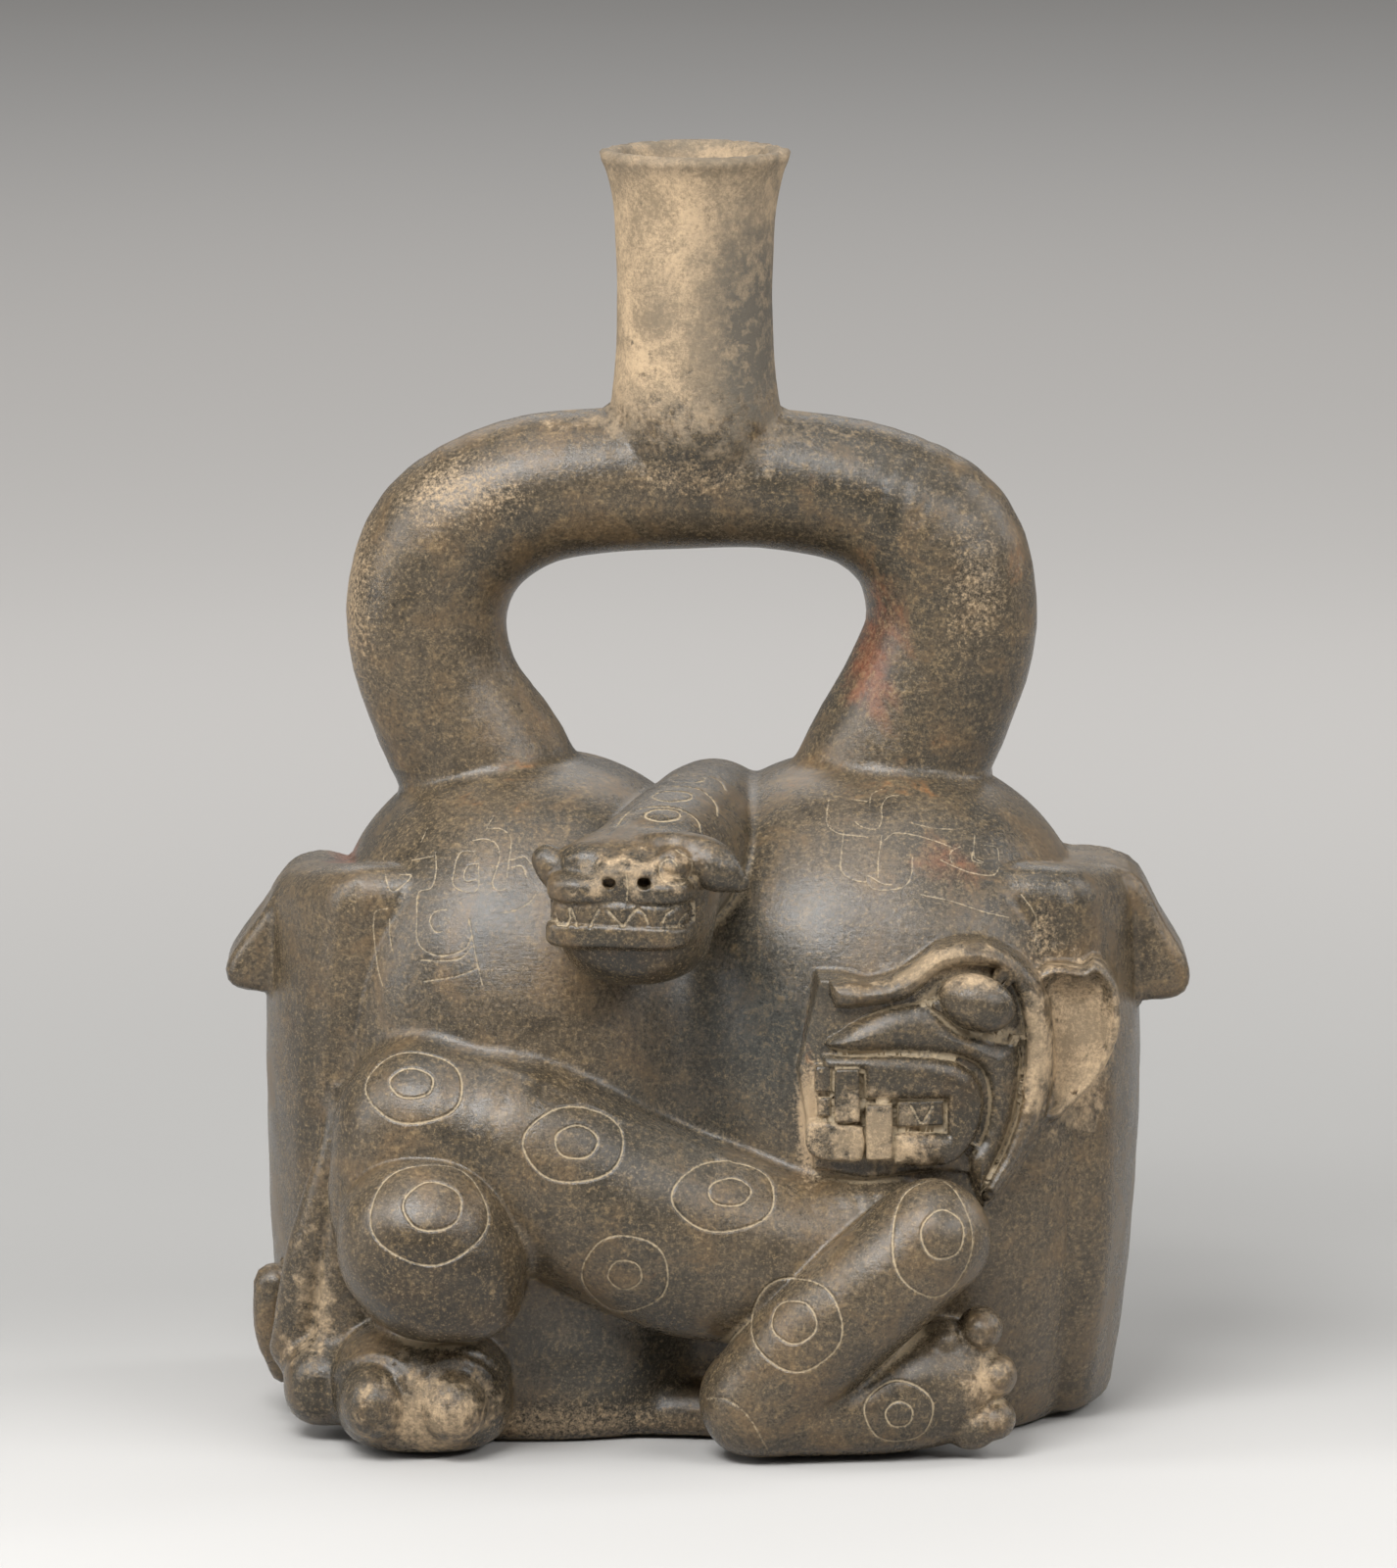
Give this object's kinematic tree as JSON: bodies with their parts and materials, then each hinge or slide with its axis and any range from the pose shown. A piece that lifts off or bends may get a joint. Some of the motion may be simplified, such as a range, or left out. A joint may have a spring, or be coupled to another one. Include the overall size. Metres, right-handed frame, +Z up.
{
  "type": "stirrup spout bottle",
  "caption": "Hollow burnished ceramic bottle: two swelling lobes between side bands, a tubular stirrup carrying a flared spout, and a serpent and a spotted feline in relief on the front.",
  "frame": {"origin": "centre of the flat underside, on the axis of the spout", "axes": "+Z up along the spout, front with the two animals facing -Y, +X to the right seen from the front"},
  "size_m": [0.2455, 0.1743, 0.322],
  "materials": {
    "burnished_ceramic": "dark grey-brown burnished ceramic, semi-gloss on the swellings, matte sandy tan on the spout, pale deposits in the grooves"
  },
  "bodies": {
    "root": {"stirrup_spout_vessel": "burnished_ceramic"}
  },
  "joints": []
}
